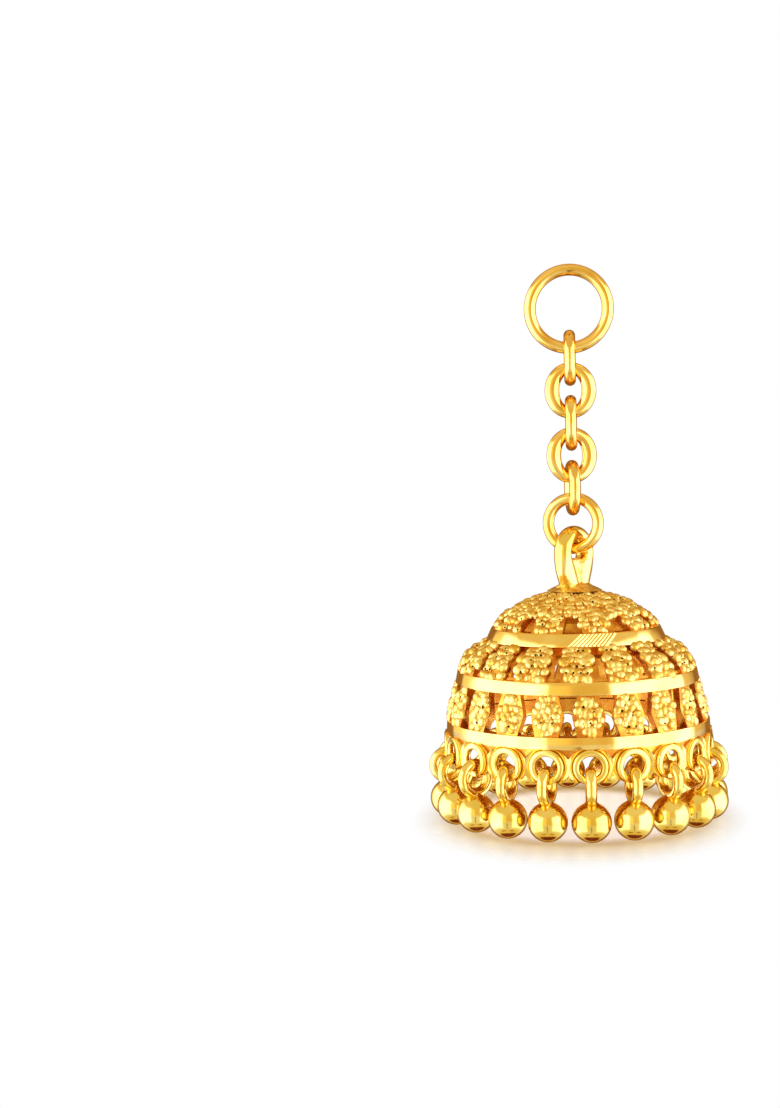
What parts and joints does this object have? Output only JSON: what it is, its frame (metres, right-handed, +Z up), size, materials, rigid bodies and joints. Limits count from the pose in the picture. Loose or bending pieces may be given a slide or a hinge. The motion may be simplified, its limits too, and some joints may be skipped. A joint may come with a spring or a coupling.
{
  "type": "jhumka drop earring",
  "caption": "Gold-toned jhumka drop earring: a top ring and an oval-link chain carry a pierced, granulated bell dome fringed with polished ball drops.",
  "frame": {"origin": "inside top of the top ring, where the drop hangs from an ear wire or a stud", "axes": "+Z up along the hanging drop; the front, as worn, faces -Y; the top ring lies in the XZ plane"},
  "size_m": [0.0238, 0.0238, 0.0438],
  "materials": {
    "yellow_gold": "bright polished yellow gold plate with reddish recesses"
  },
  "bodies": {
    "chain": {"top_ring": "yellow_gold", "chain_link_1": "yellow_gold", "chain_link_2": "yellow_gold", "chain_link_3": "yellow_gold", "chain_link_4": "yellow_gold", "chain_link_5": "yellow_gold", "jump_ring": "yellow_gold"},
    "bell": {"bell": "yellow_gold", "bell_drop_01": "yellow_gold", "bell_drop_02": "yellow_gold", "bell_drop_03": "yellow_gold", "bell_drop_04": "yellow_gold", "bell_drop_05": "yellow_gold", "bell_drop_06": "yellow_gold", "bell_drop_07": "yellow_gold", "bell_drop_08": "yellow_gold", "bell_drop_09": "yellow_gold", "bell_drop_10": "yellow_gold", "bell_drop_11": "yellow_gold", "bell_drop_12": "yellow_gold", "bell_drop_13": "yellow_gold", "bell_drop_14": "yellow_gold", "bell_drop_15": "yellow_gold", "bell_drop_16": "yellow_gold", "bell_drop_17": "yellow_gold", "bell_drop_18": "yellow_gold", "bell_drop_19": "yellow_gold", "bell_drop_20": "yellow_gold"}
  },
  "joints": [
    {"name": "bell_swing", "type": "hinge", "parent": "chain", "child": "bell", "pos_m": [0, 0, -0.02157], "axis": [0.9781, -0.2079, 0], "range_deg": [-60, 60]}
  ]
}
